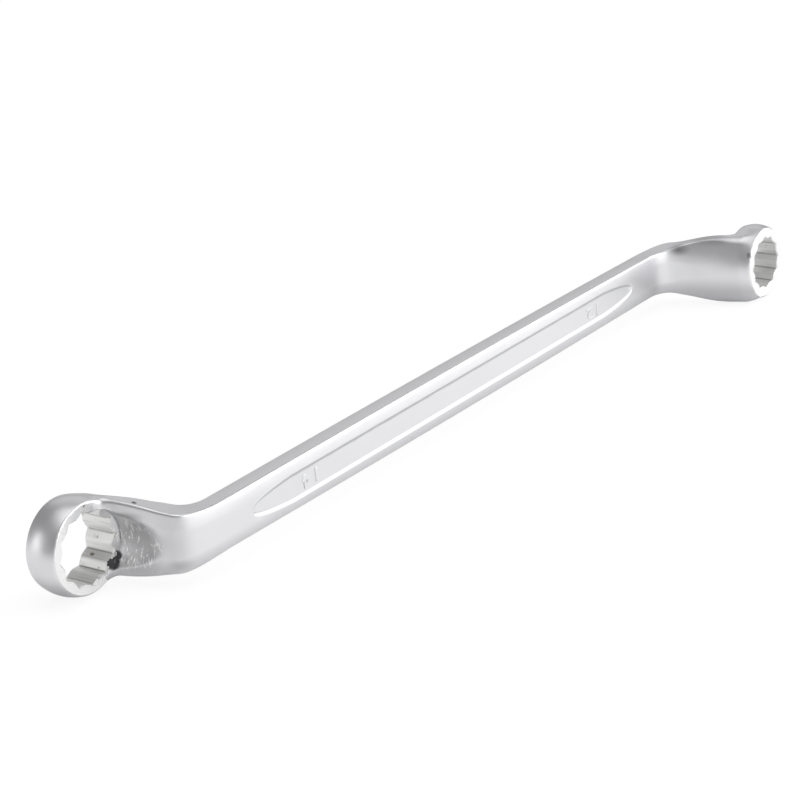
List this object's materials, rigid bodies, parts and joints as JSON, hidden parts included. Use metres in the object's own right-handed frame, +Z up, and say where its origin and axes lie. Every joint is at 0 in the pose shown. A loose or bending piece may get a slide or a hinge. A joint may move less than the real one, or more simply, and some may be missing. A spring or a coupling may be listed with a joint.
{
  "type": "ring spanner",
  "caption": "Deep offset double-ended ring spanner: a flat shank with a sunk panel, cranked to opposite sides into a large and a small ring with twelve-point sockets, for turning hex nuts.",
  "frame": {"origin": "under the middle of the bounding box, on the table that the two ring rims stand on", "axes": "+X along the shank from the large ring to the small ring, +Y along the socket axes towards the large ring's side, +Z up across the shank's width"},
  "size_m": [0.2388, 0.0498, 0.0216],
  "materials": {
    "satin_chrome": "satin chrome plate over forged steel",
    "ground_steel": "chrome plate over ground ring faces, broached sockets"
  },
  "bodies": {
    "root": {"large_ring": "ground_steel", "large_crank": "satin_chrome", "shank": "satin_chrome", "small_crank": "satin_chrome", "small_ring": "ground_steel"}
  },
  "joints": []
}
